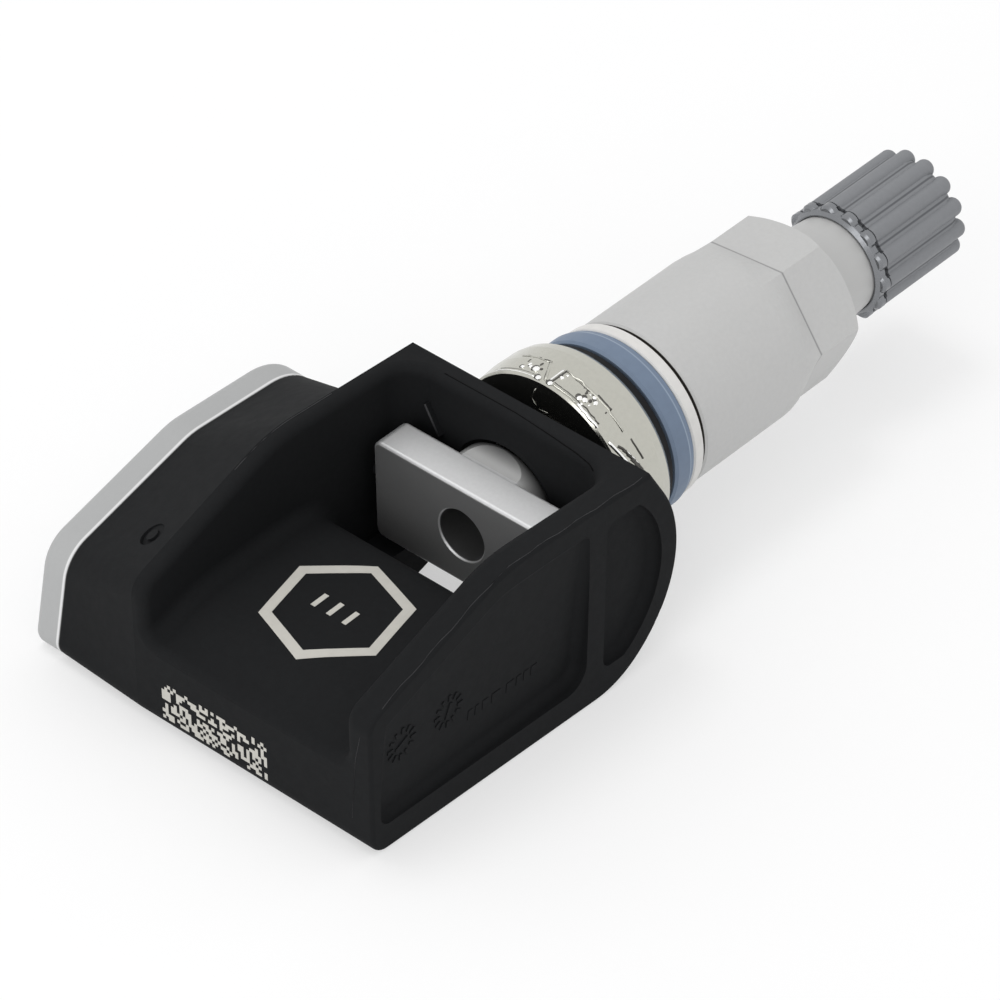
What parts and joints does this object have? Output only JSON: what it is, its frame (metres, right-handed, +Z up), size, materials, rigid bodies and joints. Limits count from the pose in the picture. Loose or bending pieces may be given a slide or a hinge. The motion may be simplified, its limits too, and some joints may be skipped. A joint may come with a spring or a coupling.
{
  "type": "tyre pressure sensor",
  "caption": "Wheel-mounted pressure sensor: a plastic electronics case with a pocket that holds the pivoting foot of a metal valve with seal, clamp rings, hex nut and cap.",
  "frame": {"origin": "on the valve axis, at the face of the rim seal that meets the wheel rim", "axes": "+X from the case towards the cap, along the flat base; +Y towards the wing and its cover; +Z up from the base. The valve rises 2.5 degrees from the base towards +X, as in the picture."},
  "size_m": [0.0751, 0.034, 0.0184],
  "materials": {
    "black_moulding": "satin",
    "grey_moulding": "satin",
    "sealing_rubber": "matte",
    "membrane": "matte",
    "board": "satin",
    "cell_steel": "polished",
    "chip_plastic": "matte",
    "capacitor": "satin",
    "ferrite": "matte",
    "copper_wire": "satin",
    "nickel_stem": "satin",
    "nickel_collar": "satin",
    "blue_ring": "satin",
    "white_ring": "satin",
    "nickel_nut": "satin",
    "cap_metal": "satin",
    "core_brass": "satin",
    "red_seal": "matte"
  },
  "bodies": {
    "sensor_case": {"housing": "black_moulding", "side_cover": "grey_moulding", "cover_gasket": "sealing_rubber", "vent_membrane": "membrane", "circuit_board": "board", "battery_cell": "cell_steel", "battery_tab_upper": "cell_steel", "battery_tab_lower": "cell_steel", "controller_chip": "chip_plastic", "pressure_chip": "chip_plastic", "crystal": "cell_steel", "capacitor_row": "capacitor", "antenna_core": "ferrite", "antenna_coil": "copper_wire"},
    "valve": {"valve_stem": "nickel_stem", "collar": "nickel_collar", "rim_seal": "sealing_rubber", "core_body": "core_brass", "core_gasket": "red_seal", "core_spring": "cell_steel"},
    "clamp_rings": {"spacer_ring": "blue_ring", "thrust_washer": "white_ring"},
    "nut": {"valve_nut": "nickel_nut"},
    "cap_lift": {"cap_seal": "sealing_rubber"},
    "cap": {"valve_cap": "cap_metal"},
    "core_plunger": {"core_pin": "core_brass", "core_cup": "core_brass"}
  },
  "joints": [
    {"name": "valve_tilt", "type": "hinge", "parent": "sensor_case", "child": "valve", "pos_m": [-0.01345, 0, -0.00059], "axis": [0, -1, 0], "range_deg": [-12.75, 5]},
    {"name": "clamp_travel", "type": "slide", "parent": "valve", "child": "clamp_rings", "axis": [0.999, 0, 0.0436], "range_m": [0, 0.0035]},
    {"name": "nut_turn", "type": "hinge", "parent": "clamp_rings", "child": "nut", "pos_m": [0.01253, 0, 0.00055], "axis": [0.999, 0, 0.0436], "range_deg": [-30, 1290]},
    {"name": "cap_travel", "type": "slide", "parent": "valve", "child": "cap_lift", "axis": [0.999, 0, 0.0436], "range_m": [0, 0.0064]},
    {"name": "cap_turn", "type": "hinge", "parent": "cap_lift", "child": "cap", "pos_m": [0.03151, 0, 0.00138], "axis": [0.999, 0, 0.0436], "range_deg": [-30, 2910]},
    {"name": "core_press", "type": "slide", "parent": "valve", "child": "core_plunger", "axis": [-0.999, 0, -0.0436], "range_m": [0, 0.001], "stiffness_N_per_m": 500, "deforming": ["core_spring"]}
  ],
  "couplings": [
    {"joint": "nut_turn", "follows": "clamp_travel", "rad_per_m": 6283.2},
    {"joint": "cap_turn", "follows": "cap_travel", "rad_per_m": 7854}
  ]
}
